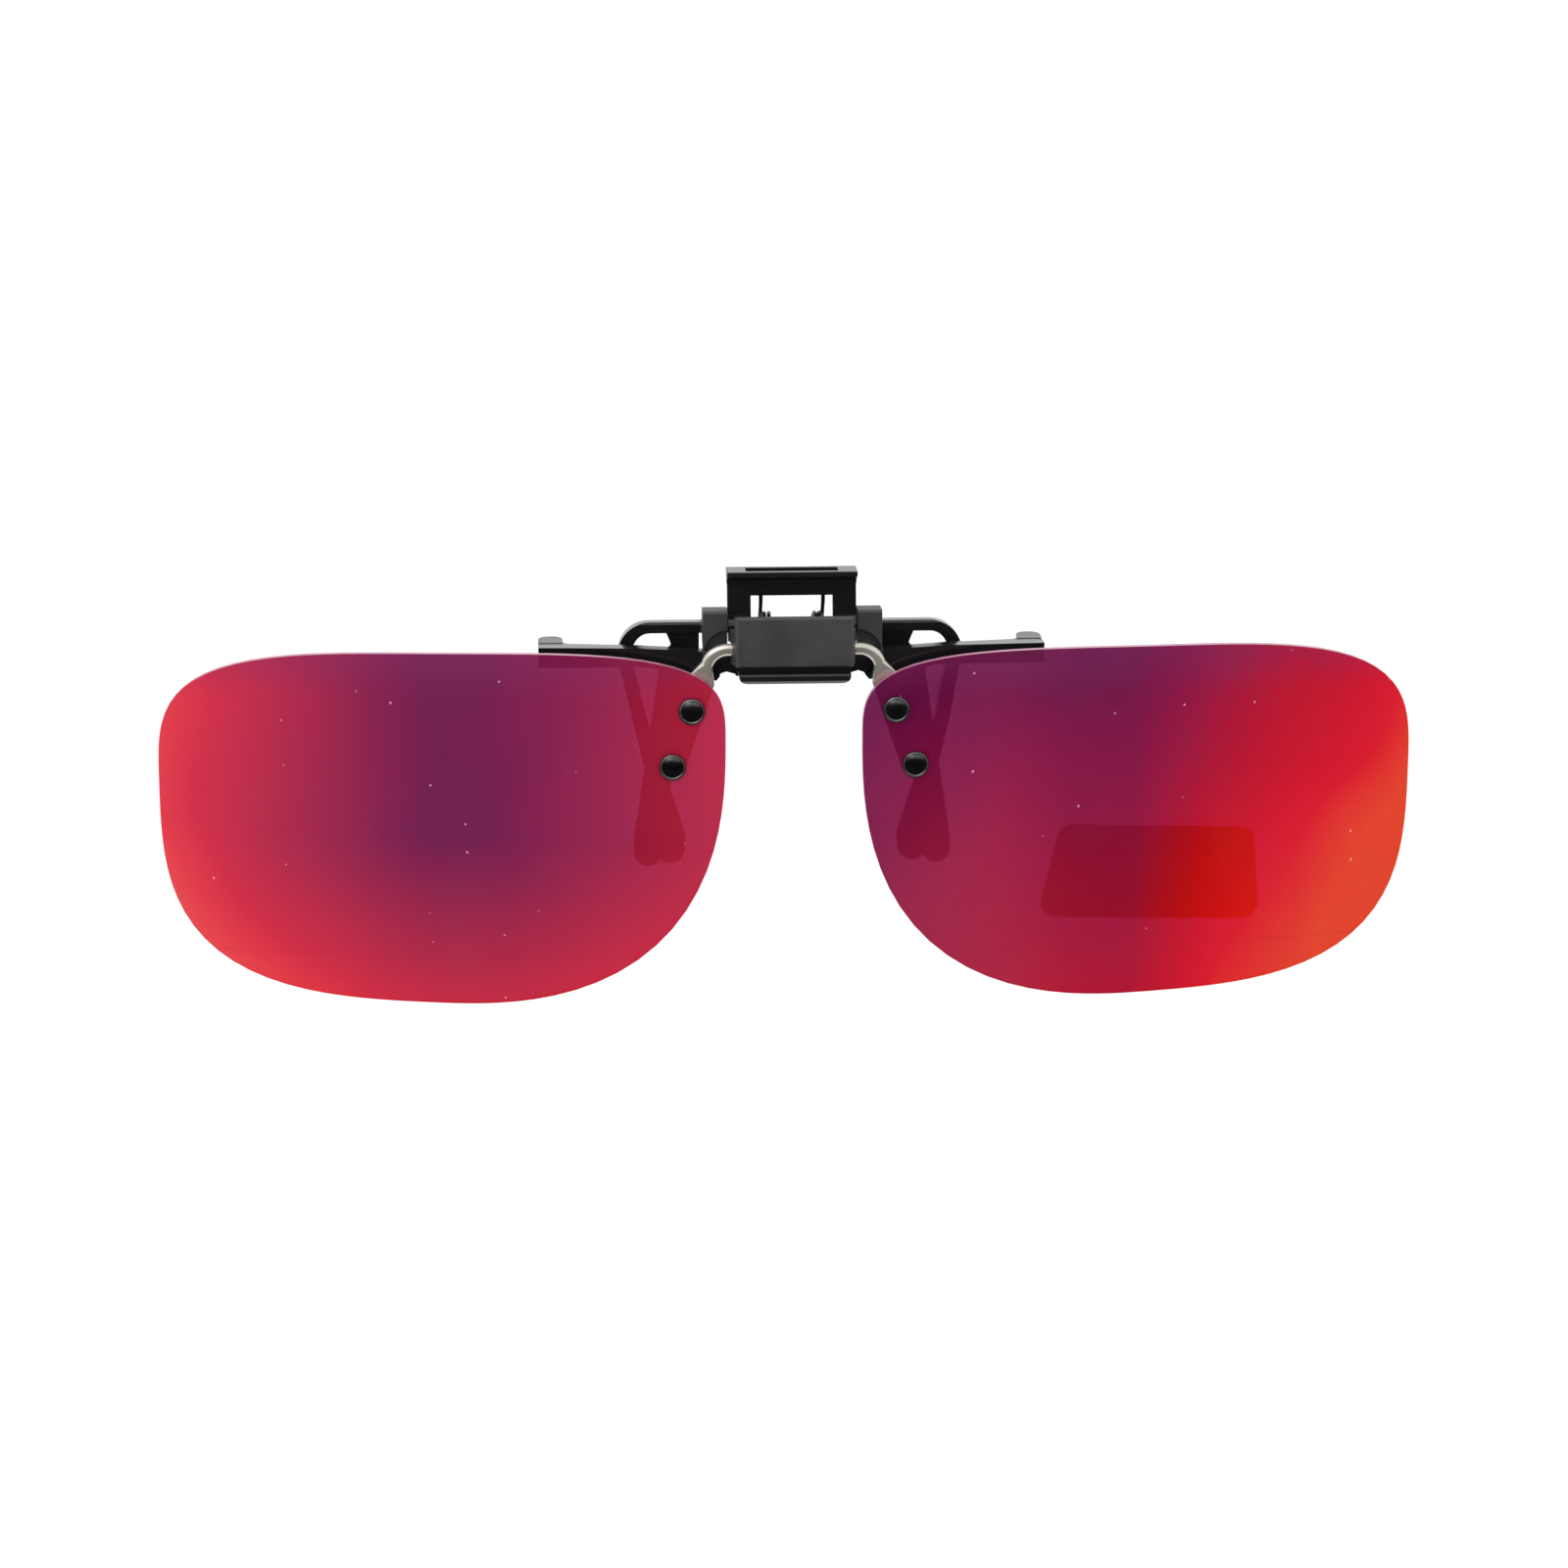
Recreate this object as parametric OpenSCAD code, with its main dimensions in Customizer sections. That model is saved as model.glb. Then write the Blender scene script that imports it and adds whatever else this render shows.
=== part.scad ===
// Flip-up clip-on sunglasses: two rimless mirror lenses on a metal bridge, carried
// by a sprung two-jaw clip that grips the top of a pair of spectacles.
// Frame: +X across the face, +Y towards the wearer, +Z up. The origin is on the middle
// plane, at the top of the gripped rim, where the two jaws meet.

/* [Lenses] */
// Height of one lens
lens_h = 38.5; // [36:0.1:40]
// Thickness of one lens
lens_t = 1.0; // [0.8:0.1:1.2]
// Radius of the lens curve, at its rear surface
lens_curve = 180; // [140:5:260]
// Half of the gap between the lenses at the nose
nose_half = 7.25; // [7:0.05:9]
// Distance from the middle plane to the outer edge of a lens
lens_reach = 67.6; // [64:0.1:70]

/* [Bridge] */
// Diameter of the bridge wire
wire_d = 1.3; // [1.1:0.05:1.5]
// Radius of the bend beside the housing, to the wire's middle
bend_r = 2.35; // [2:0.05:2.6]
// Angle of the mounting strips from the vertical
strip_tilt = 19.1; // [17:0.1:21]
// Width of the flattened mounting strips
strip_w = 2.9; // [2.6:0.1:3.2]
// Thickness of the flattened mounting strips
strip_t = 0.5; // [0.4:0.05:0.7]
// Distance between the two rivets of one lens
rivet_pitch = 6.3; // [5.5:0.1:7]
// Diameter of a rivet's head
rivet_head_d = 2.5; // [2:0.1:2.8]

/* [Clip] */
// Diameter of the hinge pin
pin_d = 1.0; // [0.8:0.05:1.1]
// Distance from the middle plane to the end of a top bar
bar_reach = 26.9; // [24:0.1:30]
// Length of the rest fingers behind the jaw plane
finger_len = 3.9; // [3:0.1:6]
// Height of the pinch tab above the hinge pin
tab_h = 6.45; // [5:0.1:8]
// Backward lean of the pinch tab
tab_lean = 8; // [4:0.5:10]
// Depth of the claws below the top of the gripped rim
claw_depth = 22.1; // [20:0.1:25]

/* [Label] */
// Height of the blank label on the back of the right lens
label_h = 10.4; // [6:0.1:12]

/* [Hidden] */

$fn = 48;
eps = 0.01;

// Flip axis, where the bridge wire turns in the housing
flip_y = -3.1;
flip_z = 1.6;
wire_r = wire_d / 2;
wire_gap = 0.05;
square_side = wire_r * sqrt(2);
square_half_len = 5;

// Hinge of the two jaws, straight above the plane where they meet
pin_r = pin_d / 2;
pin_z = 3.4;
pin_half_len = 9.4;
knuckle_gap = 0.05;
jaw_gap = 0.05;

// Housing block with its channel for the wire, and the cover in front of it
block_half_w = 5.7;
block_front = -4.9;
block_back = -1.9;
block_top = 3.3;
cover_half_w = 6.7;
cover_t = 0.8;
cover_face_half_w = 6.15;
cover_top = 5.4;
cover_bottom = 0.1;
cover_bevel = 0.2;
flange_back = -2.4;
flange_top = 3.7;
snap_y = -4.1;
snap_z = 3.0;
snap_z_low = 0.35;
snap_r = 0.28;

// Chin below the cover
chin_top = 0.05;
chin_bottom = -1.65;
chin_front = -6.2;
chin_recess = -5.2;

// Ears that hold the pin
ear_in = 6.9;
ear_out = 9.5;
ear_front = -2.0;
ear_top = 5.5;
ear_back = 1.8;
ear_corner = 0.9;

// Top bars and their rest fingers
bar_top = 1.64;
bar_root_top = 1.26;
bar_bottom = -0.5;
bar_root_bottom = -1.9;
bar_front = -2.1;
bar_sweep = 0.95;
bar_depth = 2.3;
finger_w = 2.6;
finger_top = 2.0;
tip_wall = 0.3;
tip_start = 1.6;

// Window in the tab, measured from the pin in the tab's own upright frame
window_half_w = 4.35;
window_top = 3.4;

// Arms of the rear jaw: a bead that runs out behind the ears and bends down
arm_front = 2.45;
arm_back = 4.5;
arm_top = 3.6;
arm_bottom = 2.45;
loop_x = 15.0;
loop_z = 0.2;
loop_w_in = 1.95;
loop_w_out = 3.45;

// Claws: a front pair on the clip body, a rear pair on the rear jaw
front_claw_front = -1.3;
rear_claw_back = 1.3;
tip_top = -13.4;
claw_core = 0.3;

// Rivets: the middle of each pair is the apex of the lens curve
rivet_mid_x = 11.85;
rivet_mid_z = flip_z - 9.3;
shank_r = 0.6;
hole_r = 0.65;
lens_rear_y = flip_y - strip_t / 2 - 0.2;
lens_front_y = lens_rear_y - lens_t;

// Points on an arc, from angle a0 to a1 in degrees
function arc(cx, cy, r, a0, a1, n = 12) =
    [for (i = [0:n]) let (a = a0 + (a1 - a0) * i / n) [cx + r * cos(a), cy + r * sin(a)]];

module on_both_sides() {
    children();
    mirror([1, 0, 0]) children();
}

// side is 1 for the right (+X) and -1 for the left
module on_side(side) {
    if (side > 0) children();
    else mirror([1, 0, 0]) children();
}

// A shape drawn in X and Z, given a depth from y0 to y1
module front_plate(y0, y1) {
    translate([0, y1, 0]) rotate([90, 0, 0]) linear_extrude(height = y1 - y0) children();
}

// A shape drawn in Y and Z, given a width from x0 to x1
module side_plate(x0, x1) {
    translate([x0, 0, 0]) rotate([90, 0, 90]) linear_extrude(height = x1 - x0) children();
}

module x_rod(r, x0, x1, y, z) {
    translate([x0, y, z]) rotate([0, 90, 0]) cylinder(h = x1 - x0, r = r);
}

module block(x0, x1, y0, y1, z0, z1) {
    translate([x0, y0, z0]) cube([x1 - x0, y1 - y0, z1 - z0]);
}

// ---- Lenses ----

// Rounded outline of the right lens: each quarter is a superellipse with its own
// exponent, and the top and bottom edges slope slightly.
lens_mid_x = nose_half + 30.65;
lens_mid_z = flip_z - 14.85;
lens_out_w = lens_reach - lens_mid_x;
lens_up = 14.6;
// The nasal side is widest higher up than the outer side
lens_in_mid_z = flip_z - 9.6;
lens_down = lens_h - lens_up;
function corner_power(c, s) = s > 0 ? (c > 0 ? 3.5 : 3.55) : (c > 0 ? 3.2 : 2.5);
function slope(s) = s > 0 ? -0.01 : 0.02;
function lens_point(t) =
    let (c = cos(t), s = sin(t), p = 2 / corner_power(c, s),
        u = sign(c) * pow(abs(c), p), v = sign(s) * pow(abs(s), p),
        x = u * (c > 0 ? lens_out_w : lens_mid_x - nose_half),
        mid = c > 0 ? lens_mid_z : lens_in_mid_z,
        end = lens_mid_z + (s > 0 ? lens_up : -lens_down))
    [lens_mid_x + x, mid + abs(v) * (end - mid) + slope(s) * x * abs(v)];
// Steps crowd towards the four ends of the axes, where the superellipse moves fastest
function eased(i, n) = let (q = 4 * i / n, k = floor(q), f = q - k)
    90 * (k + f - sin(360 * f) / (2 * PI) * 0.92);
lens_steps = 120;
lens_outline = [for (i = [0:lens_steps - 1]) lens_point(eased(i, lens_steps))];

// Spherical shell between two depths behind the lens's rear surface
module lens_shell(out, in) {
    translate([rivet_mid_x, lens_rear_y + lens_curve, rivet_mid_z]) difference() {
        sphere(r = lens_curve + out, $fn = 240);
        sphere(r = lens_curve - in, $fn = 240);
    }
}

module at_rivets() {
    for (end = [1, -1])
        translate([rivet_mid_x - end * rivet_pitch / 2 * sin(strip_tilt), 0,
                rivet_mid_z + end * rivet_pitch / 2 * cos(strip_tilt)])
            children();
}

module y_rod(r, y0, y1) {
    translate([0, y1, 0]) rotate([90, 0, 0]) cylinder(h = y1 - y0, r = r);
}

module lens(side) {
    color([0.72, 0.1, 0.28, 0.9]) on_side(side) difference() {
        intersection() {
            lens_shell(lens_t, 0);
            front_plate(-12, 20) polygon(lens_outline);
        }
        at_rivets() y_rod(hole_r, -8, 2);
    }
}

// Blank trapezium stuck to the back of the right lens
label_x = 39.1;
label_z = -23.7;
label_top_w = 22.0;
label_bottom_w = 24.3;
label_r = 1.6;
label_t = 0.12;
module lens_label() {
    tw = label_top_w / 2 - label_r;
    bw = label_bottom_w / 2 - label_r;
    hh = label_h / 2 - label_r;
    color([0.2, 0.2, 0.22]) intersection() {
        lens_shell(0, label_t);
        translate([label_x, 0, label_z]) rotate([0, 3.5, 0]) front_plate(-12, 20)
            polygon(concat(arc(tw, hh, label_r, 0, 90, 6), arc(-tw, hh, label_r, 90, 180, 6),
                arc(-bw, -hh, label_r, 180, 270, 6), arc(bw, -hh, label_r, 270, 360, 6)));
    }
}

// ---- Bridge and rivets ----

arc_end = 90 - strip_tilt;
bend_x = 6.95;
strip_start_x = bend_x + bend_r * sin(arc_end);
strip_start_z = flip_z - bend_r * (1 - cos(arc_end));
strip_overhang = 1.45;
ramp_len = 1.8;

// The strip runs down and out from the end of the bend, through both rivets
module along_strip() {
    translate([strip_start_x, flip_y, strip_start_z]) rotate([0, 90 - strip_tilt, 0]) children();
}
strip_len = norm([rivet_mid_x - strip_start_x, rivet_mid_z - strip_start_z])
    + rivet_pitch / 2 + strip_overhang;

module bridge_side() {
    x_rod(wire_r, square_half_len, bend_x, flip_y, flip_z);
    translate([bend_x, flip_y, flip_z - bend_r]) rotate([90, 0, 0]) rotate([0, 0, 90 - arc_end])
        rotate_extrude(angle = arc_end) translate([bend_r, 0]) circle(r = wire_r);
    difference() {
        union() {
            hull() {
                along_strip() rotate([0, 90, 0]) cylinder(h = 0.1, r = wire_r, $fn = 32);
                along_strip() translate([ramp_len, 0, 0])
                    cube([0.1, strip_t, strip_w], center = true);
            }
            along_strip() {
                translate([ramp_len, -strip_t / 2, -strip_w / 2])
                    cube([strip_len - ramp_len - strip_w / 2, strip_t, strip_w]);
                translate([strip_len - strip_w / 2, 0, 0]) rotate([90, 0, 0])
                    cylinder(h = strip_t, r = strip_w / 2, center = true);
            }
        }
        at_rivets() y_rod(hole_r, flip_y - 2, flip_y + 2);
    }
}

module bridge() {
    color("silver") {
        on_both_sides() bridge_side();
        // squared length that the detent spring bears on
        translate([-square_half_len, flip_y - square_side / 2, flip_z - square_side / 2])
            cube([2 * square_half_len, square_side, square_side]);
    }
}

// Domed head in front of the lens, shank, and the set end behind the strip
head_h = 0.6;
tail_r = 0.95;
tail_h = 0.4;
module rivet(side, end) {
    head_r = rivet_head_d / 2;
    rim = 0.22;
    dome_r = (head_r * head_r + (head_h - rim) * (head_h - rim)) / (2 * (head_h - rim));
    dome_a = asin(head_r / dome_r);
    color([0.3, 0.28, 0.28]) on_side(side)
        translate([rivet_mid_x - end * rivet_pitch / 2 * sin(strip_tilt), 0,
                rivet_mid_z + end * rivet_pitch / 2 * cos(strip_tilt)]) {
            translate([0, lens_front_y, 0]) rotate([90, 0, 0]) rotate_extrude()
                polygon(concat([[0, 0], [head_r, 0]],
                    [for (i = [0:8]) let (a = dome_a * (1 - i / 8))
                        [dome_r * sin(a), head_h - dome_r * (1 - cos(a))]]));
            y_rod(shank_r, lens_front_y - eps, flip_y + strip_t / 2 + eps);
            y_rod(tail_r, flip_y + strip_t / 2, flip_y + strip_t / 2 + tail_h);
        }
}

// ---- Clip body: housing block, ears, top bars and front claws in one moulding ----

module housing_block() {
    difference() {
        block(-block_half_w, block_half_w, block_front, block_back, chin_top, block_top);
        x_rod(wire_r + wire_gap, -7, 7, flip_y, flip_z);
        block(-7, 7, block_front - 1, flip_y, flip_z - wire_r - wire_gap,
            flip_z + wire_r + wire_gap);
    }
    // nubs that the cover's flanges snap over
    on_both_sides() for (z = [snap_z, snap_z_low])
        x_rod(snap_r, block_half_w - eps, block_half_w + 0.35, snap_y, z);
}

// Chin: a recessed neck, then a ledge with rounded lower corners
module chin() {
    ledge_half_w = 6.0;
    corner = 0.9;
    intersection() {
        front_plate(chin_front, block_back)
            polygon(concat([[-ledge_half_w, chin_top + 0.05]],
                arc(-ledge_half_w + 0.1 + corner, chin_bottom + corner, corner, 190, 270, 6),
                arc(ledge_half_w - 0.1 - corner, chin_bottom + corner, corner, 270, 350, 6),
                [[ledge_half_w, chin_top + 0.05]]));
        side_plate(-8, 8)
            polygon([[block_back, chin_top], [chin_recess, chin_top], [chin_recess, -0.6],
                [chin_front + 0.2, -0.6], [chin_front, -0.8], [chin_front, -1.3],
                [chin_front + 0.5, chin_bottom], [block_back, chin_bottom]]);
    }
}

module ear() {
    difference() {
        side_plate(ear_in, ear_out)
            polygon(concat([[ear_front, bar_bottom], [-0.6, bar_bottom], [-0.6, 1.2],
                    [0.9, 2.0], [ear_back, 2.9]],
                arc(ear_back - ear_corner, ear_top - ear_corner, ear_corner, 0, 90, 8),
                [[ear_front + 0.25, ear_top], [ear_front, ear_top - 0.25]]));
        x_rod(pin_r, ear_in - 1, ear_out + 1, 0, pin_z);
        wire_arch();
    }
}

// Arched recess in the front of the ear, beside the wire's bend
module wire_arch() {
    translate([bend_x, 0, 0.95]) front_plate(-4, ear_front + 0.8) circle(r = 2.5);
}

// Saddle under the hinge that joins the block, the ears and the bars
module saddle() {
    half = [[ear_out, bar_root_top], [ear_out, bar_root_bottom],
        [8.1, bar_root_bottom], [7.6, -1.3], [7.0, -1.1], [6.5, -1.25],
        [5.4, chin_bottom + 0.1]];
    difference() {
        front_plate(bar_front, -0.6)
            polygon(concat(half, [for (i = [len(half) - 1:-1:0]) [-half[i][0], half[i][1]]]));
        on_both_sides() intersection() {
            wire_arch();
            block(block_half_w + 0.4, 10, -4, 0, -5, 3);
        }
    }
}

// Front edge of a top bar, seen from above: swept back towards its end
function bar_y(x) = bar_front + bar_sweep * (1 - pow((bar_reach - x) / (bar_reach - ear_out), 2));

// One top bar with its rest finger's core; it deepens towards the housing
module top_bar() {
    root = ear_out - 1;
    intersection() {
        linear_extrude(height = 10, center = true)
            polygon(concat([[root, bar_front], [ear_out, bar_front]],
                [for (i = [1:5]) let (x = ear_out + (bar_reach - ear_out) * i / 5) [x, bar_y(x)]],
                [[bar_reach, 1], [bar_reach - finger_w, 1.4]],
                arc(bar_reach - finger_w - 1.1, 1.45 + bar_y(23.5) + bar_depth, 1.1, 0, -90, 6),
                [for (i = [3:-1:0]) let (x = ear_out + (bar_reach - ear_out) * i / 5)
                    [x, bar_y(x) + bar_depth - 0.4 * (1 - i / 3)]],
                [[root, bar_front + 1.5]]));
        front_plate(-4, 4)
            polygon([[root, bar_root_top], [ear_out + 0.5, bar_root_top],
                [ear_out + 7, bar_top - 0.1], [bar_reach, bar_top], [bar_reach, bar_bottom],
                [ear_out + 5.5, bar_bottom], [ear_out + 1.5, bar_root_bottom], [root, bar_root_bottom]]);
    }
    rest_finger(tip_wall);
}

// Rest finger: flat below, rising slightly above, with a rounded end. Inset leaves room
// for its soft tip.
module rest_finger(inset, from = -0.2) {
    x0 = bar_reach - finger_w + inset;
    x1 = bar_reach - inset;
    r = 1.1 - inset;
    y = finger_len - inset - r;
    intersection() {
        linear_extrude(height = 5)
            polygon(concat([[x1, from]], arc(x1 - r, y, r, 0, 90, 8),
                arc(x0 + r, y, r, 90, 180, 8), [[x0, from]]));
        side_plate(20, 32)
            polygon([[-1, inset], [finger_len, inset], [finger_len, finger_top - inset],
                [1.2, bar_top - inset], [-1, bar_top - inset]]);
    }
}

module rest_tip(side) {
    color([0.32, 0.32, 0.33]) on_side(side) difference() {
        rest_finger(0, tip_start);
        rest_finger(tip_wall, 0.5);
    }
}

// Outlines of the claws in the front view: an outer edge, a round pad, an inner edge.
// Inset draws the outline smaller, for the core inside a soft tip.
pad_r = 1.5;
front_outer = [[14.0, 0], [16.5, -16.5], [16.95, -19.2]];
front_inner = [[13.9, -19.2], [13.2, -14.5], [10.9, 0]];
front_pad_x = 15.45;
rear_outer = [[18.15, loop_z], [18.15, -1.4], [15.9, -11], [14.75, -17], [14.6, -19.4]];
rear_inner = [[11.35, -19.2], [12.15, -16.7], [15.2, -7.2], [16.7, -1.4], [16.7, loop_z]];
rear_pad_x = 12.95;
function claw_shape(outer, inner, pad_x, inset) =
    concat([for (p = outer) [p[0] - inset, p[1]]],
        arc(pad_x, -claw_depth + pad_r, pad_r - inset, -12, -168, 16),
        [for (p = inner) [p[0] + inset, p[1]]]);
function front_claw_shape(inset) = claw_shape(front_outer, front_inner, front_pad_x, inset);
function rear_claw_shape(inset) = claw_shape(rear_outer, rear_inner, rear_pad_x, inset);

// Side view of the front claw: straight, just in front of the jaw plane
module front_claw_side(inset, z_top) {
    side_plate(10, 19)
        polygon([[front_claw_front + inset, z_top], [-jaw_gap - inset, z_top],
            [-jaw_gap - inset, -claw_depth - 1], [front_claw_front + inset, -claw_depth - 1]]);
}

// Side view of the rear claw: it hangs from the arm, bows round the gripped rim and
// comes forward to the jaw plane
module rear_claw_side(inset, z_top) {
    front = [[arm_front, loop_z + 1], [arm_front, -1.2], [jaw_gap, -6.4],
        [jaw_gap, -claw_depth - 1]];
    back = [[rear_claw_back, -claw_depth - 1], [rear_claw_back, -7], [arm_back - 0.3, -1.6],
        [arm_back, -0.2], [arm_back, loop_z + 1]];
    intersection() {
        side_plate(10, 19)
            polygon(concat([for (p = front) [p[0] + inset, p[1]]],
                [for (p = back) [p[0] - inset, p[1]]]));
        block(9, 20, -3, 5, -claw_depth - 2, z_top);
    }
}

module front_claw() {
    intersection() {
        front_plate(-3, 3) polygon(front_claw_shape(0));
        union() {
            front_claw_side(0, 0);
            block(9, 20, -1.8, -0.2, -1, 0);
        }
        block(9, 20, -3, 3, tip_top, 2);
    }
    intersection() {
        front_plate(-3, 3) polygon(front_claw_shape(claw_core));
        front_claw_side(claw_core, tip_top + 0.1);
    }
}

module claw_tip_front(side) {
    color([0.09, 0.09, 0.1]) on_side(side) difference() {
        intersection() {
            front_plate(-3, 3) polygon(front_claw_shape(0));
            front_claw_side(0, tip_top);
        }
        intersection() {
            front_plate(-3, 3) polygon(front_claw_shape(claw_core));
            front_claw_side(claw_core, tip_top + 1);
        }
    }
}

module clip_body() {
    color([0.1, 0.1, 0.11]) {
        housing_block();
        chin();
        saddle();
        on_both_sides() {
            ear();
            top_bar();
            front_claw();
        }
    }
}

// ---- Cover ----

// Top view of the cover: bevelled front corners, then sides that flare backwards
function cover_plan(y0, y1) =
    let (w0 = cover_face_half_w,
        wide = function(y) w0 + (cover_half_w - w0) * (y - block_front + cover_t)
            / (flange_back - block_front + cover_t))
    [[-wide(y1), y1], [-wide(y0 + cover_bevel), y0 + cover_bevel], [-w0 + cover_bevel, y0],
        [w0 - cover_bevel, y0], [wide(y0 + cover_bevel), y0 + cover_bevel], [wide(y1), y1]];

module front_cover() {
    front = block_front - cover_t;
    color([0.22, 0.22, 0.23]) difference() {
        union() {
            // face plate with bevelled edges, and flanges that flare backwards
            intersection() {
                linear_extrude(height = cover_top - cover_bottom)
                    polygon(cover_plan(front, block_front));
                side_plate(-8, 8)
                    polygon([[block_front, 0], [front + 0.15, 0], [front, 0.15],
                        [front, cover_top - cover_bottom - 0.25],
                        [front + 0.25, cover_top - cover_bottom],
                        [block_front, cover_top - cover_bottom]]);
            }
            linear_extrude(height = flange_top - cover_bottom) difference() {
                polygon(cover_plan(front + cover_bevel, flange_back));
                translate([-block_half_w, block_front])
                    square([2 * block_half_w, flange_back - block_front + 1]);
            }
        }
        // slots that the wire leaves by
        translate([0, 0, -cover_bottom]) {
            x_rod(wire_r + wire_gap, -8, 8, flip_y, flip_z);
            block(-8, 8, flip_y, flange_back + 1, flip_z - wire_r - wire_gap,
                flip_z + wire_r + wire_gap);
            on_both_sides() for (z = [snap_z, snap_z_low])
                x_rod(snap_r + 0.03, block_half_w - 0.2, cover_half_w + 1, snap_y, z);
        }
    }
}

module placed_cover() {
    translate([0, 0, cover_bottom]) front_cover();
}

// ---- Springs and pin ----

// Bowed leaf between the cover and the squared wire
leaf_half_len = 4.5;
leaf_bow = 1.0;
leaf_t = 0.2;
leaf_w = 1.3;
module detent_spring() {
    leaf_r = (leaf_half_len * leaf_half_len + leaf_bow * leaf_bow) / (2 * leaf_bow);
    apex_y = flip_y - square_side / 2 - 0.02;
    color("silver") intersection() {
        translate([0, apex_y - leaf_r, flip_z - leaf_w / 2]) difference() {
            cylinder(h = leaf_w, r = leaf_r, $fn = 96);
            translate([0, 0, -1]) cylinder(h = leaf_w + 2, r = leaf_r - leaf_t, $fn = 96);
        }
        block(-leaf_half_len, leaf_half_len, apex_y - 2, apex_y + 1, 0, 3);
    }
}

module hinge_pin() {
    color("silver") x_rod(pin_r, -pin_half_len, pin_half_len, 0, pin_z);
}

// Double torsion spring: a bail against the housing joins the inner ends of two coils,
// and the outer ends rise through the tab's window to the front of its top rail.
coil_r = 1.55;
coil_wire_r = 0.22;
coil_turns = 2.5;
coil_x0 = 2.05;
coil_pitch = 0.5;
coil_steps = 22;
leg_x = coil_x0 + coil_pitch * coil_turns;
leg_y = -0.42;
bail_y = -1.66;
bail_z = 1.55;

// Right half of the wire's middle line, from the bail's middle to the end of the leg
coil_points = [for (i = [0:coil_turns * coil_steps])
    let (a = 180 + 360 * i / coil_steps)
    [coil_x0 + coil_pitch * i / coil_steps, coil_r * cos(a), pin_z + coil_r * sin(a)]];
half_spring = concat([[0, bail_y, bail_z], [coil_x0 - 0.6, bail_y, bail_z],
        [coil_x0 - 0.12, bail_y + 0.01, bail_z + 0.35], [coil_x0 - 0.02, -coil_r, pin_z - 0.7]],
    coil_points,
    [[leg_x, coil_r - 0.12, pin_z + 0.55], [leg_x, leg_y, pin_z + 2.9],
        [leg_x, leg_y + 0.02, pin_z + window_top + 0.35]]);

function direction(p, i) = let (a = p[max(i - 1, 0)], b = p[min(i + 1, len(p) - 1)])
    (b - a) / norm(b - a);

// Tube of radius r and n sides along the points p
module tube(p, r, n = 8) {
    rings = [for (i = [0:len(p) - 1])
        let (d = direction(p, i), ref = abs(d[0]) < 0.9 ? [1, 0, 0] : [0, 0, 1],
            u = cross(d, ref) / norm(cross(d, ref)), v = cross(d, u))
        for (k = [0:n - 1]) p[i] + r * (cos(360 * k / n) * u + sin(360 * k / n) * v)];
    last = n * (len(p) - 1);
    polyhedron(points = rings, faces = concat(
        [[for (k = [0:n - 1]) k]],
        [for (i = [0:len(p) - 2], k = [0:n - 1])
            let (a = i * n + k, b = i * n + (k + 1) % n) [b, a, a + n, b + n]],
        [[for (k = [n - 1:-1:0]) last + k]]), convexity = 10);
}

module torsion_spring() {
    whole = concat([for (i = [len(half_spring) - 1:-1:1])
        [-half_spring[i][0], half_spring[i][1], half_spring[i][2]]], half_spring);
    color("silver") tube(whole, coil_wire_r);
}

// ---- Rear jaw: pinch tab, knuckles, arms and rear claws in one moulding ----

knuckle_in = 4.7;
knuckle_out = 6.8;
knuckle_r = 1.5;
tab_half_w = 6.9;
rail_t = 1.1;
ledge_front = -2.4;
ledge_back = 0.8;

// The tab in its own upright frame, before it leans back about the pin
module tab_upright() {
    on_both_sides() side_plate(window_half_w, tab_half_w - 0.05)
        polygon([[-rail_t / 2, 0], [rail_t / 2, 0], [rail_t / 2, tab_h - 0.5],
            [-rail_t / 2, tab_h - 0.5]]);
    side_plate(-window_half_w - eps, window_half_w + eps)
        polygon([[-rail_t / 2, window_top], [rail_t / 2, window_top],
            [rail_t / 2, tab_h - 0.5], [-rail_t / 2, tab_h - 0.5]]);
    // ledge along the top with a grip groove
    difference() {
        side_plate(-tab_half_w, tab_half_w)
            polygon([[-rail_t / 2, tab_h - 1.8], [-rail_t / 2 - 0.25, tab_h - 1.4],
                [ledge_front, tab_h - 1.1], [ledge_front, tab_h - 0.65],
                [ledge_front + 0.1, tab_h - 0.55], [ledge_back - 0.1, tab_h],
                [ledge_back, tab_h - 0.1], [ledge_back, tab_h - 0.9], [rail_t / 2, tab_h - 1.1]]);
        side_plate(-tab_half_w + 2, tab_half_w - 2)
            polygon([[-1.75, tab_h - 0.85], [0.1, tab_h - 0.5], [0.1, tab_h + 0.5],
                [-1.75, tab_h + 0.5]]);
    }
}

module knuckle() {
    x_rod(knuckle_r, knuckle_in, knuckle_out, 0, pin_z);
    block(knuckle_in, knuckle_out, 0.6, arm_back - 0.5, arm_bottom, arm_top);
}

// Quarter of an ellipse-like bend in the front view, half-width w and height h
function bend(w, h, a0, a1, n = 12) =
    [for (i = [0:n]) let (a = a0 + (a1 - a0) * i / n)
        [loop_x + w * cos(a), loop_z + h * sin(a)]];

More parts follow.
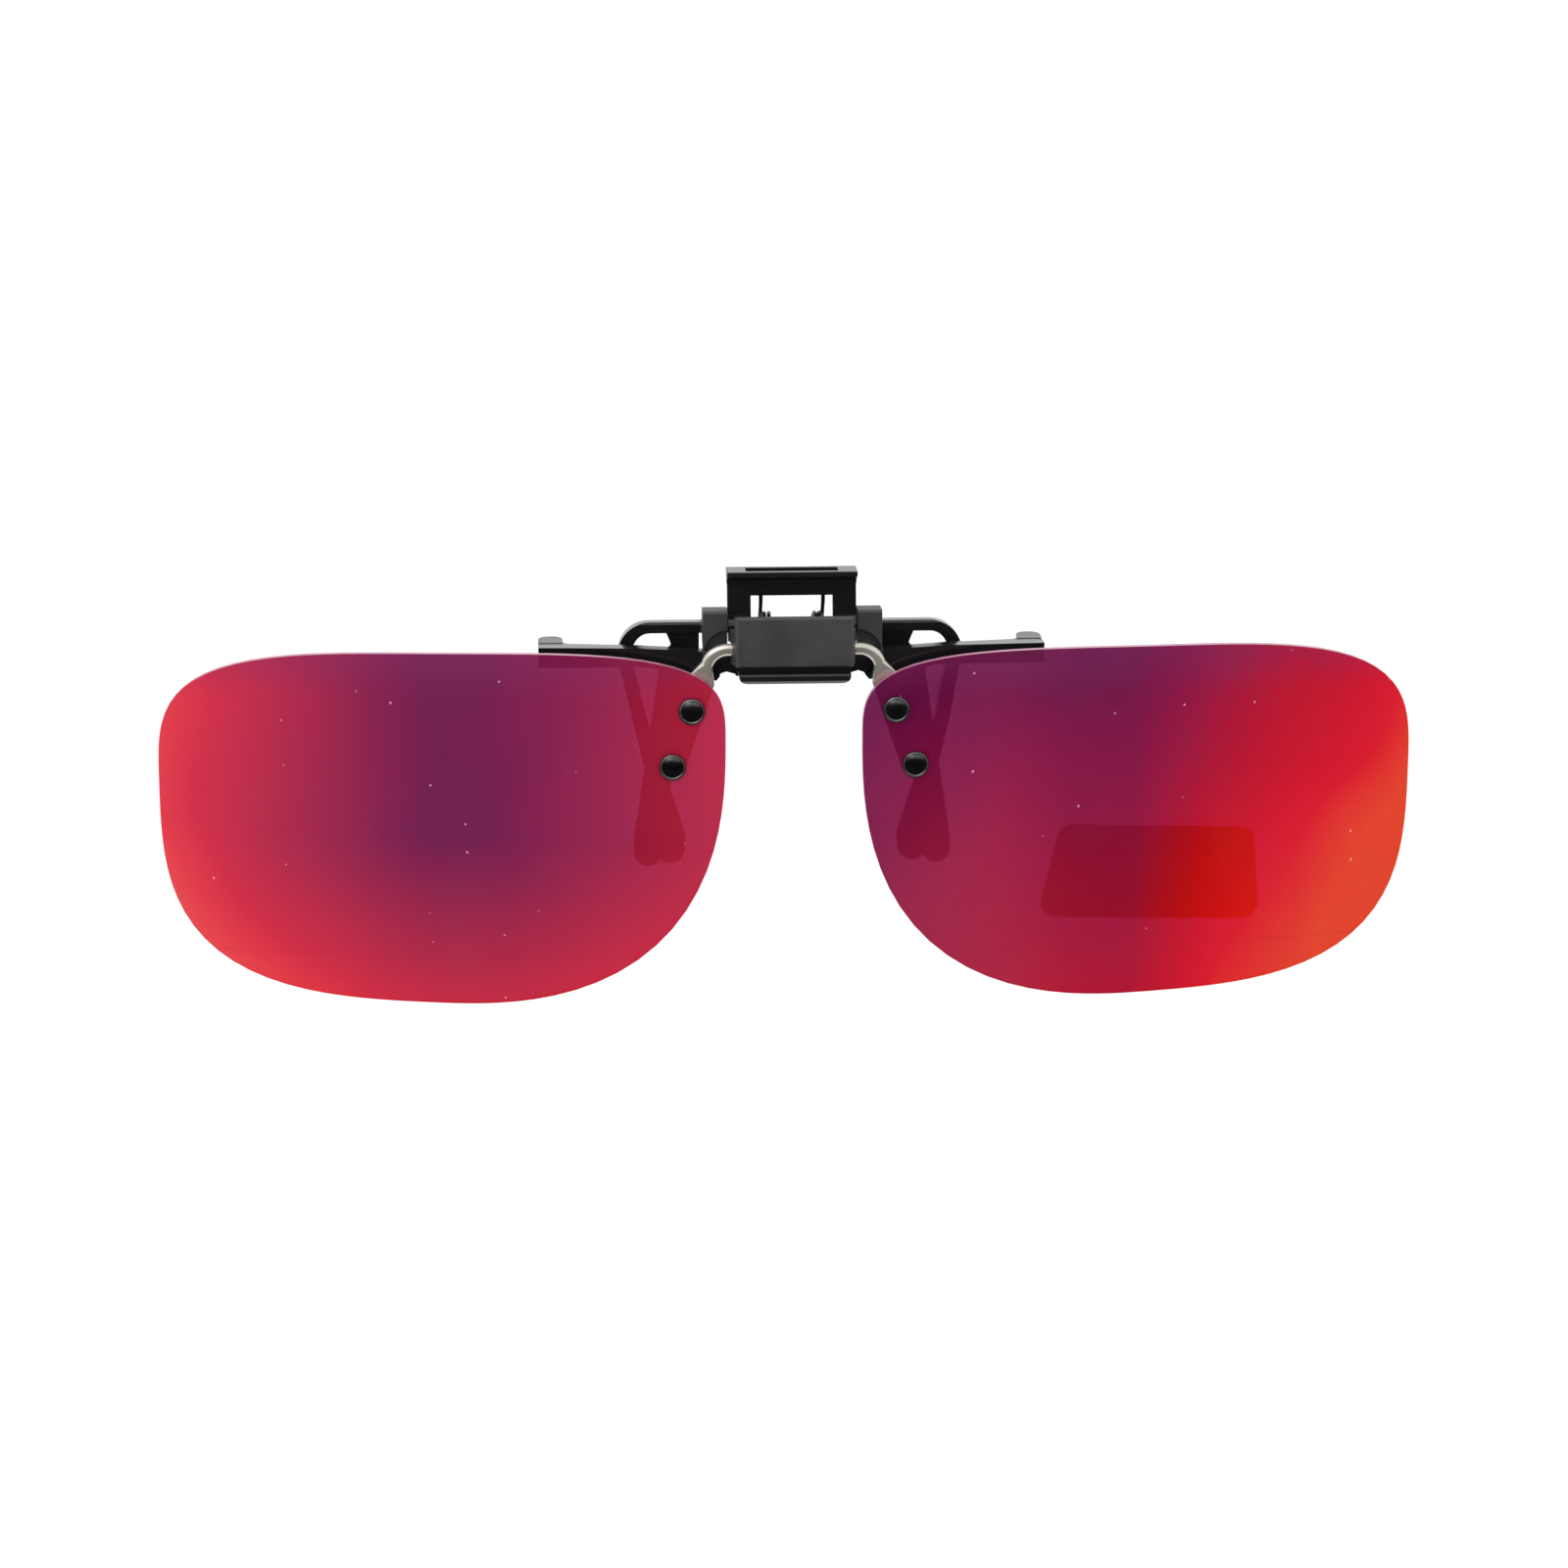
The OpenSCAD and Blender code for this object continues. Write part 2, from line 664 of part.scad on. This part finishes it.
// Arm: a band that runs out behind the ear and bends down into the rear claw, with a web
// in its inner corner
module arm() {
    edge = 0.25;
    intersection() {
        front_plate(arm_front, arm_back)
            polygon(concat([[knuckle_in, arm_bottom], [knuckle_in, arm_top]],
                bend(loop_w_out, arm_top - loop_z, 90, 0),
                bend(loop_w_in, arm_bottom - loop_z, 0, 90)));
        side_plate(0, 20)
            polygon([[arm_front, -5], [arm_front, arm_top - edge], [arm_front + edge, arm_top],
                [arm_back - edge, arm_top], [arm_back, arm_top - edge], [arm_back, -5]]);
    }
    front_plate(arm_front + 0.2, arm_back - 1)
        polygon([[9.75, -0.1], [13.7, -0.1], [12.75, 1.2], [12.95, 1.75], [13.3, arm_bottom + 0.1],
            [9.75, arm_bottom + 0.1]]);
}

// Lower rail of the loop, hidden behind the top bar
module loop_rail() {
    front_plate(arm_front + 0.2, arm_back - 1)
        polygon([[9.75, -0.9], [rear_outer[1][0] - 0.2, -0.9], [rear_outer[1][0] - 0.2, 0.1],
            [9.75, 0.1]]);
}

module rear_claw() {
    intersection() {
        front_plate(-3, 5) polygon(rear_claw_shape(0));
        rear_claw_side(0, loop_z + 0.01);
        block(9, 20, -3, 5, tip_top, 2);
    }
    intersection() {
        front_plate(-3, 5) polygon(rear_claw_shape(claw_core));
        rear_claw_side(claw_core, tip_top + 0.1);
    }
}

module claw_tip_rear(side) {
    color([0.09, 0.09, 0.1]) on_side(side) difference() {
        intersection() {
            front_plate(-3, 5) polygon(rear_claw_shape(0));
            rear_claw_side(0, tip_top);
        }
        intersection() {
            front_plate(-3, 5) polygon(rear_claw_shape(claw_core));
            rear_claw_side(claw_core, tip_top + 1);
        }
    }
}

module rear_jaw() {
    color([0.08, 0.08, 0.09]) difference() {
        union() {
            translate([0, 0, pin_z]) rotate([-tab_lean, 0, 0]) tab_upright();
            on_both_sides() {
                knuckle();
                arm();
                loop_rail();
                rear_claw();
            }
        }
        x_rod(pin_r + knuckle_gap, -8, 8, 0, pin_z);
    }
}

clip_body();
placed_cover();  // front_cover
detent_spring();
hinge_pin();
torsion_spring();
rear_jaw();
claw_tip_front(-1);  // claw_tip_front_left
claw_tip_front(1);  // claw_tip_front_right
claw_tip_rear(-1);  // claw_tip_rear_left
claw_tip_rear(1);  // claw_tip_rear_right
rest_tip(-1);  // rest_tip_left
rest_tip(1);  // rest_tip_right
bridge();
lens(-1);  // lens_left
lens(1);  // lens_right
rivet(-1, 1);  // rivet_left_upper
rivet(-1, -1);  // rivet_left_lower
rivet(1, 1);  // rivet_right_upper
rivet(1, -1);  // rivet_right_lower
lens_label();
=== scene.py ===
import math
import bpy
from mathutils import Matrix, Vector


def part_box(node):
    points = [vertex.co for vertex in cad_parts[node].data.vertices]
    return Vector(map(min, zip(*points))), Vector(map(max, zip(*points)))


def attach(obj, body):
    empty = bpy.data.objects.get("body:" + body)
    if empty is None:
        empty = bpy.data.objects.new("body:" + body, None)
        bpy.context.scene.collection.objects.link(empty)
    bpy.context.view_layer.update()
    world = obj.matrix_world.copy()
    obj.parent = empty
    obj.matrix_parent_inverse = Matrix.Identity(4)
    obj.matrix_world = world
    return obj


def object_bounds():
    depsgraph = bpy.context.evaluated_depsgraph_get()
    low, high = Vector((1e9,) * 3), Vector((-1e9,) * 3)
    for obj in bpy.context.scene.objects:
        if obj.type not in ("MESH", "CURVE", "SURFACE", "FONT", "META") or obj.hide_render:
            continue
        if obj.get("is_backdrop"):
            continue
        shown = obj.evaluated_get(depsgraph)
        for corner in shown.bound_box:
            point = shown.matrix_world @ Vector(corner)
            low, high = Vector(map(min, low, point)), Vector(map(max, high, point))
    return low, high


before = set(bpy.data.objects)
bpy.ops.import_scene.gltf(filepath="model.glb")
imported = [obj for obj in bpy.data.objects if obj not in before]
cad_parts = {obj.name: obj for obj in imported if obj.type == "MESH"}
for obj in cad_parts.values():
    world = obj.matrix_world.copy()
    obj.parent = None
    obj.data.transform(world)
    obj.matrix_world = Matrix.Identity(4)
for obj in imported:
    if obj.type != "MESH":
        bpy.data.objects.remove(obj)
cad_lo, cad_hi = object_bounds()
scene = bpy.context.scene
scene.view_settings.view_transform = "Standard"

# ---------------------------------------------------------------- camera
# Straight at the front, a little to the left and twelve degrees above it.
AZIMUTH, ELEVATION = math.radians(-3.5), math.radians(12.0)
DISTANCE = 0.45
FIELD_WIDTH = 0.16667  # what the camera sees across, at the target
SENSOR = 36
TARGET = Vector((-0.0010, -0.0031, -0.01296))


def aim(ob, place, direction):
    """Puts a camera or lamp at a place, looking along a direction."""
    ob.location = place
    ob.rotation_euler = direction.to_track_quat("-Z", "Y").to_euler()


back = Vector((math.sin(AZIMUTH) * math.cos(ELEVATION),
               -math.cos(AZIMUTH) * math.cos(ELEVATION), math.sin(ELEVATION)))
camera = bpy.data.objects.new("camera", bpy.data.cameras.new("camera"))
scene.collection.objects.link(camera)
aim(camera, TARGET + back * DISTANCE, -back)
camera.data.sensor_width = SENSOR
camera.data.lens = SENSOR * DISTANCE / FIELD_WIDTH
scene.camera = camera


# ---------------------------------------------------------------- node helpers
def lin(r, g, b):
    """An 8-bit display colour as linear values."""
    def one(c):
        c /= 255
        return c / 12.92 if c <= 0.04045 else ((c + 0.055) / 1.055) ** 2.4
    return (one(r), one(g), one(b), 1.0)


SEEN_THROUGH = (0.048, 0.0115, 0.0345)  # what the lens's clear share and gloss add
COAT_SHARE = 0.97                       # what is left of the base colour
DARKEST = 0.0004


def coat(r, g, b):
    """The base colour that shows as that display colour on the front of a lens."""
    return tuple(max((c - k) / COAT_SHARE, DARKEST)
                 for c, k in zip(lin(r, g, b), SEEN_THROUGH)) + (1.0,)


class Mat:
    """A node material with short calls for the nodes it is made of."""

    def __init__(self, name):
        self.m = bpy.data.materials.new(name)
        self.m.use_nodes = True
        self.t = self.m.node_tree
        self.out = self.t.nodes["Material Output"]
        self.b = self.t.nodes["Principled BSDF"]
        coordinates = self.t.nodes.new("ShaderNodeTexCoord")
        self.o = coordinates.outputs["Object"]
        self.n = coordinates.outputs["Normal"]

    def put(self, socket, value):
        if isinstance(value, bpy.types.NodeSocket):
            self.t.links.new(value, socket)
        else:
            socket.default_value = value

    def set(self, **inputs):
        """Inputs of the Principled shader, with _ for each space in their names."""
        for k, v in inputs.items():
            self.put(self.b.inputs[k.replace("_", " ")], v)

    def new(self, kind, **settings):
        n = self.t.nodes.new("ShaderNode" + kind)
        for k, v in settings.items():
            setattr(n, k, v)
        return n

    def math(self, op, *values, clamp=False):
        n = self.new("Math", operation=op, use_clamp=clamp)
        for socket, v in zip(n.inputs, values):
            self.put(socket, v)
        return n.outputs[0]

    def add(self, a, b):
        return self.math("ADD", a, b)

    def sub(self, a, b):
        return self.math("SUBTRACT", a, b)

    def mul(self, a, b):
        return self.math("MULTIPLY", a, b)

    def past(self, value, limit, slope):
        """How far value lies above limit, times slope; 0 below it."""
        return self.mul(self.math("MAXIMUM", self.sub(value, limit), 0.0), slope)

    def short_of(self, value, limit, slope):
        """How far value lies below limit, times slope; 0 above it."""
        return self.mul(self.math("MAXIMUM", self.sub(limit, value), 0.0), slope)

    def xyz(self, vector=None):
        n = self.new("SeparateXYZ")
        self.put(n.inputs[0], vector or self.o)
        return n.outputs

    def step(self, value, lo, hi, a=0.0, b=1.0):
        """A smooth step from a at lo to b at hi."""
        n = self.new("MapRange", interpolation_type="SMOOTHSTEP")
        names = ("Value", "From Min", "From Max", "To Min", "To Max")
        for k, v in zip(names, (value, lo, hi, a, b)):
            self.put(n.inputs[k], v)
        return n.outputs[0]

    def noise(self, scale, detail=3.0, rough=0.55, vector=None, distortion=0.0):
        n = self.new("TexNoise")
        names = ("Vector", "Scale", "Detail", "Roughness", "Distortion")
        for k, v in zip(names, (vector or self.o, scale, detail, rough, distortion)):
            self.put(n.inputs[k], v)
        return n.outputs["Fac"]

    def stretch(self, x, y, z):
        n = self.new("Mapping")
        self.put(n.inputs["Vector"], self.o)
        n.inputs["Scale"].default_value = (x, y, z)
        return n.outputs[0]

    def mix(self, fac, a, b, blend="MIX"):
        n = self.new("Mix", data_type="RGBA", blend_type=blend)
        self.put(n.inputs[0], fac)
        self.put(n.inputs[6], a)
        self.put(n.inputs[7], b)
        return n.outputs[2]

    def ramp(self, fac, stops):
        n = self.new("ValToRGB")
        e = n.color_ramp.elements
        while len(e) < len(stops):
            e.new(0.5)
        for s, (p, c) in zip(e, stops):
            s.position, s.color = p, c
        self.put(n.inputs[0], fac)
        return n.outputs[0]

    def bump(self, height, strength, distance, under=None):
        n = self.new("Bump")
        n.inputs["Strength"].default_value = strength
        n.inputs["Distance"].default_value = distance
        self.put(n.inputs["Height"], height)
        if under:
            self.put(n.inputs["Normal"], under)
        return n.outputs[0]

    def wear(self, amount):
        """Rubbed streaks and blotches, from -amount to amount, so that no roughness is even."""
        blot = self.noise(180, 4)
        streak = self.noise(900, 2, vector=self.stretch(0.18, 1.0, 1.0))
        both = self.add(self.mul(blot, 0.6), self.mul(streak, 0.4))
        return self.step(both, 0.35, 0.65, -amount, amount)


# ---------------------------------------------------------------- materials
EAR_IN = (0.00680, 0.00695)    # from the middle, where the ears begin and
EAR_OUT = (0.00965, 0.00955)   # where they end
EAR_FOOT = (-0.0004, 0.0016)


def plastic(name):
    """Black moulded nylon: polished on bars and arms, finely textured on the ears."""
    m = Mat(name)
    x, _, z = m.xyz()
    from_middle = m.math("ABSOLUTE", x)
    ear = m.mul(m.step(from_middle, *EAR_IN), m.step(from_middle, *EAR_OUT))
    ear = m.mul(ear, m.step(z, *EAR_FOOT))
    cloud = m.noise(260, 3)
    gloss = m.mix(cloud, lin(16, 16, 19), lin(26, 26, 30))
    matte = m.mix(cloud, lin(45, 46, 48), lin(54, 55, 57))
    peel = m.bump(m.noise(700, 2), 0.12, 0.00002)
    m.set(Base_Color=m.mix(ear, gloss, matte),
          Roughness=m.add(m.step(ear, 0, 1, 0.17, 0.5), m.wear(0.035)),
          Normal=m.bump(m.noise(5200, 2, 0.6), 0.25, 0.000012, peel))
    return m.m


def textured(name, low, high, rough):
    """Spark-eroded matte plastic with a faint drag pattern from handling."""
    m = Mat(name)
    cloud = m.step(m.noise(170, 4, 0.6), 0.3, 0.7)
    brush = m.noise(2600, 2, vector=m.stretch(0.12, 1, 1))
    m.set(Base_Color=m.mix(cloud, lin(*low), lin(*high)),
          Roughness=m.add(rough, m.wear(0.05)),
          Normal=m.bump(m.noise(6000, 2), 0.35, 0.000012, m.bump(brush, 0.15, 0.00001)))
    return m.m


def rubber(name, low, high):
    """Soft grip rubber with a fine skin."""
    m = Mat(name)
    m.set(Base_Color=m.mix(m.noise(420, 4), lin(*low), lin(*high)),
          Roughness=m.add(0.42, m.wear(0.06)),
          Normal=m.bump(m.noise(3800, 3), 0.4, 0.000015),
          Sheen_Weight=0.25, Sheen_Roughness=0.4)
    return m.m


def metal(name, low, high, rough, lines=(0.05, 1, 0.05), grain=4000, bare=1.0):
    """Drawn or turned metal: the lines run along the long way of the piece."""
    m = Mat(name)
    drawn = m.noise(grain, 3, 0.6, vector=m.stretch(*lines))
    uneven = m.add(m.wear(0.04), m.step(drawn, 0.3, 0.7, -0.03, 0.05))
    m.set(Base_Color=m.mix(m.noise(300, 4, 0.6), lin(*low), lin(*high)),
          Metallic=bare, Roughness=m.add(rough, uneven),
          Normal=m.bump(drawn, 0.25, 0.00001))
    return m.m


def film(name):
    """The thin tint card behind the right lens."""
    m = Mat(name)
    m.set(Base_Color=m.mix(m.noise(300, 3), lin(46, 12, 22), lin(60, 18, 30)),
          Roughness=m.add(0.4, m.wear(0.05)),
          Normal=m.bump(m.noise(2500, 2), 0.2, 0.00001))
    return m.m


# ---------------------------------------------------------------- mirror coat, with painted reflection
# The coat's colour follows a level that rises away from a plum heart; this run of colour is
# partly the coat's own tint and partly painted reflection of the surroundings. The left lens
# uses the cool scale; the right one uses the hot scale, fading to the cool one near the nose.
COOL = [(0.0, coat(112, 27, 79)), (0.13, coat(129, 29, 77)), (0.27, coat(148, 34, 76)),
        (0.50, coat(177, 39, 73)), (0.75, coat(205, 44, 71)), (0.89, coat(222, 58, 72)),
        (1.0, coat(229, 80, 86))]
HOT = [(0.0, coat(104, 33, 79)), (0.24, coat(137, 29, 74)), (0.385, coat(156, 30, 69)),
       (0.54, coat(178, 26, 58)), (0.70, coat(199, 17, 42)), (0.81, coat(213, 17, 24)),
       (0.88, coat(222, 32, 28)), (0.93, coat(228, 50, 35)), (1.0, coat(233, 72, 48))]
COOL_SPAN, HOT_SPAN = 120.0, 143.0  # the level at which each scale ends
CLEAR = (0.58, 0.27, 0.46, 1)       # the tint of what is seen through a lens
CLEAR_HOT = (0.50, 0.17, 0.38, 1)   # and the same where the coat is warm


def left_coat_and_painted_reflection(m, x, z, sway):
    """A heart on the nose side of the lens's middle, redder to both sides and to the foot: the
    coat's tint with painted reflection in it.
    """
    heart, flat, foot = -0.0351, 0.003, -0.0180
    off = m.sub(x, heart)
    across = m.add(m.past(m.mul(off, -1.0), flat, 3600.0), m.past(off, flat, 2600.0))
    down = m.short_of(z, foot, 4300.0)
    both = m.add(m.math("POWER", across, 1.5), m.math("POWER", down, 1.5))
    level = m.add(m.math("POWER", both, 1 / 1.5), sway)
    colour = m.ramp(m.math("DIVIDE", level, COOL_SPAN), COOL)
    # Painted reflection: darker and redder towards the foot.
    painted_reflection_foot_tint = m.mul(m.math("DIVIDE", down, 75.0, clamp=True), 0.9)
    return m.mix(painted_reflection_foot_tint, colour, m.mix(1.0, colour, (1.0, 0.66, 0.60, 1.0), "MULTIPLY"))


def right_coat_and_painted_reflection(m, x, z, sway, outer):
    """A heart at the top, with a slanting run to red and orange on the outer side: the coat's
    tint with painted reflection in it.
    """
    right = m.past(x, 0.0365, 5000.0)
    slower = m.add(m.mul(m.sub(x, 0.0530), 2600.0), 83.0)
    right = m.math("SMOOTH_MIN", right, slower, 8.0)
    left = m.short_of(x, 0.030, 1350.0)
    depth = m.math("MAXIMUM", m.mul(z, -1.0), 0.0)
    depth = m.math("SMOOTH_MIN", depth, m.add(m.mul(depth, 0.72), 0.0036), 0.002)
    down = m.mul(depth, m.step(outer, 0.0, 1.0, 1900.0, 2750.0))
    down = m.mul(down, m.step(x, 0.044, 0.056, 1.0, 0.66))
    level = m.add(m.add(right, left), m.add(down, sway))
    warm = m.ramp(m.math("DIVIDE", level, HOT_SPAN), HOT)
    cool = m.ramp(m.math("DIVIDE", m.sub(level, 9.0), COOL_SPAN), COOL)
    # Painted reflection: the cool colour shifts towards red at the foot.
    painted_reflection_foot_tint = m.mul(m.step(z, -0.014, -0.034), 0.8)
    cool = m.mix(painted_reflection_foot_tint, cool, m.mix(1.0, cool, (1.0, 1.0, 0.66, 1.0), "MULTIPLY"))
    return m.mix(outer, cool, warm)


def dust(m, x, z):
    """How much of a speck of dust lies at a point of the lens."""
    flat = m.new("CombineXYZ")
    m.put(flat.inputs[0], x)
    m.put(flat.inputs[1], z)
    cells = m.new("TexVoronoi", voronoi_dimensions="2D")
    m.put(cells.inputs["Vector"], flat.outputs[0])
    cells.inputs["Scale"].default_value = 260
    pick = m.xyz(cells.outputs["Color"])
    speck = m.mul(m.step(cells.outputs["Distance"], 0.040, 0.018),
                  m.math("GREATER_THAN", pick[0], 0.88))
    return m.mul(speck, m.step(pick[1], 0.0, 1.0, 0.15, 0.7))


def mirror_lens(name, is_left):
    """Tinted lens: a mirror coat on the front with painted reflection in its colour, a pale cut
    edge that is partly a painted highlight, and a dark tint behind.
    """
    m = Mat(name)
    x, _, z = m.xyz()
    sway = m.step(m.noise(38, 2, 0.5, distortion=0.3), 0.3, 0.7, -5.0, 5.0)
    if is_left:
        colour, tint = left_coat_and_painted_reflection(m, x, z, sway), CLEAR
    else:
        outer = m.step(x, 0.014, 0.034)
        colour, tint = right_coat_and_painted_reflection(m, x, z, sway, outer), m.mix(outer, CLEAR, CLEAR_HOT)
    # A slightly cooler wavering band under the upper rim: a painted reflection of a dark shape
    # in front of the lens.
    edge = m.add(z, m.step(m.noise(120, 2), 0.3, 0.7, -0.0006, 0.0006))
    colour = m.mix(m.step(edge, -0.0042, 0.0008, 0.0, 0.35), colour, coat(128, 48, 98))
    # A faint line across the lower part: a painted reflection of a seam in the surroundings.
    reflected_seam = m.math("ABSOLUTE", m.add(z, 0.0318))
    colour = m.mix(m.step(reflected_seam, 0.00022, 0.00002, 0.0, 0.10), colour, coat(120, 10, 50))
    speck = dust(m, x, z)
    colour = m.mix(speck, colour, lin(235, 190, 205))

    # Inside the lens a face's normal is turned round, so it is turned back here.
    inside = m.new("NewGeometry").outputs["Backfacing"]
    ny = m.mul(m.xyz(m.n)[1], m.step(inside, 0.0, 1.0, 1.0, -1.0))
    front, rear = m.step(ny, -0.45, -0.75), m.step(ny, 0.45, 0.75)
    face = m.add(front, rear)
    # The cut edge's pale pink is partly the frosted edge's own colour and partly a painted
    # highlight where the edge catches light.
    pale = m.mix(m.noise(900, 3), lin(176, 112, 138), lin(204, 146, 166))
    smear = m.step(m.noise(60, 4, 0.6, distortion=1.2), 0.4, 0.75, 0.0, 0.07)
    m.set(Base_Color=m.mix(front, m.mix(rear, pale, lin(60, 18, 34)), colour),
          Roughness=m.add(m.step(face, 0.0, 1.0, 0.38, 0.16), m.add(smear, m.mul(speck, 0.4))),
          Metallic=0.0, Specular_IOR_Level=0.3, Coat_Weight=0.25, Coat_Roughness=0.03,
          Normal=m.bump(m.noise(45, 1), 0.04, 0.0002))

    clear = m.new("BsdfTransparent")
    m.put(clear.inputs[0], tint)
    share = m.add(m.mul(front, 0.20), m.mul(rear, 0.75))
    share = m.add(share, m.mul(m.sub(1.0, face), 0.12))
    share = m.mul(share, m.sub(1.0, speck))
    blend = m.new("MixShader")
    for socket, value in zip(blend.inputs, (share, m.b.outputs[0], clear.outputs[0])):
        m.put(socket, value)
    m.put(m.out.inputs["Surface"], blend.outputs[0])
    return m.m


# ---------------------------------------------------------------- looks of the CAD nodes
EVEN = (1, 1, 1)  # no drawn direction
BLACK = plastic("black_nylon")
STEEL = metal("spring_steel", (50, 49, 49), (78, 76, 75), 0.28, EVEN, 5200)
# Light steel for the ring on each rivet's edge: a painted highlight.
RIM_PAINTED_HIGHLIGHT = metal("rivet_rim_painted_highlight", (150, 148, 146), (186, 183, 180), 0.22, EVEN, 3800)
LOOKS = {
    "clip_body": BLACK,
    "rear_jaw": BLACK,
    "front_cover": textured("cover_plastic", (47, 48, 50), (56, 57, 59), 0.5),
    "claw_tip": rubber("grip_rubber", (34, 34, 36), (52, 53, 55)),
    "rest_tip": rubber("rest_rubber", (76, 77, 78), (98, 99, 100)),
    "bridge": metal("nickel_wire", (186, 180, 170), (212, 207, 197), 0.24, bare=0.72),
    "torsion_spring": STEEL,
    "detent_spring": STEEL,
    "hinge_pin": STEEL,
    "rivet": metal("rivet_gunmetal", (70, 70, 70), (96, 96, 97), 0.2, EVEN, 3800),
    "lens_label": film("tint_card"),
    "lens_left": mirror_lens("mirror_lens_left", True),
    "lens_right": mirror_lens("mirror_lens_right", False),
}
for name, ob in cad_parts.items():
    ob.data.materials.clear()
    ob.data.materials.append(next(v for k, v in LOOKS.items() if name.startswith(k)))


# ---------------------------------------------------------------- rivet rims: painted highlight and painted shadow rings
def ring(name, centre, radius, wire, look, body, turns=64, sides=12):
    """A slightly flattened bead ring round an axis along Y, for the painted highlight and
    painted shadow rings round the rivets.
    """
    verts, faces = [], []
    for i in range(turns):
        a = 2 * math.pi * i / turns
        for j in range(sides):
            b = 2 * math.pi * j / sides
            r = radius + wire * math.cos(b)
            verts.append((centre.x + r * math.cos(a), centre.y + 0.7 * wire * math.sin(b),
                          centre.z + r * math.sin(a)))
            k, q = (i + 1) % turns, (j + 1) % sides
            faces.append((i * sides + j, k * sides + j, k * sides + q, i * sides + q))
    me = bpy.data.meshes.new(name)
    me.from_pydata(verts, [], faces)
    me.polygons.foreach_set("use_smooth", [True] * len(faces))
    me.materials.append(look)
    ob = bpy.data.objects.new(name, me)
    scene.collection.objects.link(ob)
    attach(ob, body)


# (name, depth behind the rivet's face, share of its radius, bead's radius, look)
# The rim ring's light steel is a painted highlight on the rivet's edge; the black seat ring is
# a painted shadow at the edge of the rivet's hole.
RINGS = (("rim", 0.00030, 0.965, 0.00009, RIM_PAINTED_HIGHLIGHT), ("seat_painted_shadow", 0.00036, 1.07, 0.00007, BLACK))
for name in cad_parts:
    if name.startswith("rivet"):
        lo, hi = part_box(name)
        middle, radius = (lo + hi) / 2, (hi.x - lo.x) / 2
        for kind, depth, share, bead, look in RINGS:
            ring(name + "_" + kind, Vector((middle.x, lo.y + depth, middle.z)),
                 radius * share, bead, look, "lens_frame")

# ---------------------------------------------------------------- softened edges
for node in ("clip_body", "front_cover", "rear_jaw"):
    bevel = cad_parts[node].modifiers.new("soft_edges", "BEVEL")
    bevel.width, bevel.segments = 0.00012, 2
    bevel.limit_method, bevel.angle_limit = "ANGLE", math.radians(38)
    bevel.use_clamp_overlap = True
    bevel.harden_normals = True

# ---------------------------------------------------------------- stage and light
FLOOR_Z = cad_lo.z - 0.09


def stage_sheet(name, corners, look):
    """A flat sheet that isn't part of the object."""
    me = bpy.data.meshes.new(name)
    me.from_pydata(corners, [], [(0, 1, 2, 3)])
    me.materials.append(look)
    ob = bpy.data.objects.new(name, me)
    scene.collection.objects.link(ob)
    ob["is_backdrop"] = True
    return ob


pale = Mat("pale_floor")
pale.set(Base_Color=pale.mix(pale.noise(3, 2), lin(250, 250, 250), lin(253, 253, 252)),
         Roughness=0.9, Specular_IOR_Level=0.0)
EXTENT = 3.0
stage_sheet("floor", [(-EXTENT, -EXTENT, FLOOR_Z), (EXTENT, -EXTENT, FLOOR_Z),
                      (EXTENT, EXTENT, FLOOR_Z), (-EXTENT, EXTENT, FLOOR_Z)], pale.m)

# Two dark flags in front, seen only in reflections, so that polished black reads as black.
cloth = Mat("flag_cloth")
cloth.set(Base_Color=lin(40, 40, 42), Roughness=1.0)
HALF = 0.7                            # half the width of both
FOOT_Y, FOOT_Z = -0.24, -0.128        # the lower edge of the standing one
TOP_Y, TOP_Z = -0.32, 0.16            # and its upper edge
NEAR_Y, LOW_Z = -0.03, FLOOR_Z + 0.001  # the lying one's edge under the object
flags = (
    stage_sheet("flag", [(-HALF, FOOT_Y, FOOT_Z), (HALF, FOOT_Y, FOOT_Z),
                         (HALF, TOP_Y, TOP_Z), (-HALF, TOP_Y, TOP_Z)], cloth.m),
    stage_sheet("flag_low", [(-HALF, FOOT_Y, LOW_Z), (HALF, FOOT_Y, LOW_Z),
                             (HALF, NEAR_Y, LOW_Z), (-HALF, NEAR_Y, LOW_Z)], cloth.m),
)
for flag in flags:
    flag.visible_camera = False
    flag.visible_diffuse = False
    flag.visible_shadow = False
    flag.visible_transmission = False

world = bpy.data.worlds.new("studio")
scene.world = world
world.use_nodes = True
background = world.node_tree.nodes["Background"]
background.inputs["Color"].default_value = (1, 1, 1, 1)
background.inputs["Strength"].default_value = 1.08

LAMP_AT = Vector((-0.25, -0.25, 0.45))
key = bpy.data.lights.new("key", "AREA")
key.shape, key.size, key.size_y, key.energy = "RECTANGLE", 0.5, 0.35, 1.2
lamp = bpy.data.objects.new("key", key)
scene.collection.objects.link(lamp)
aim(lamp, LAMP_AT, Vector((0, 0, -0.01)) - LAMP_AT)

lo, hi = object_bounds()
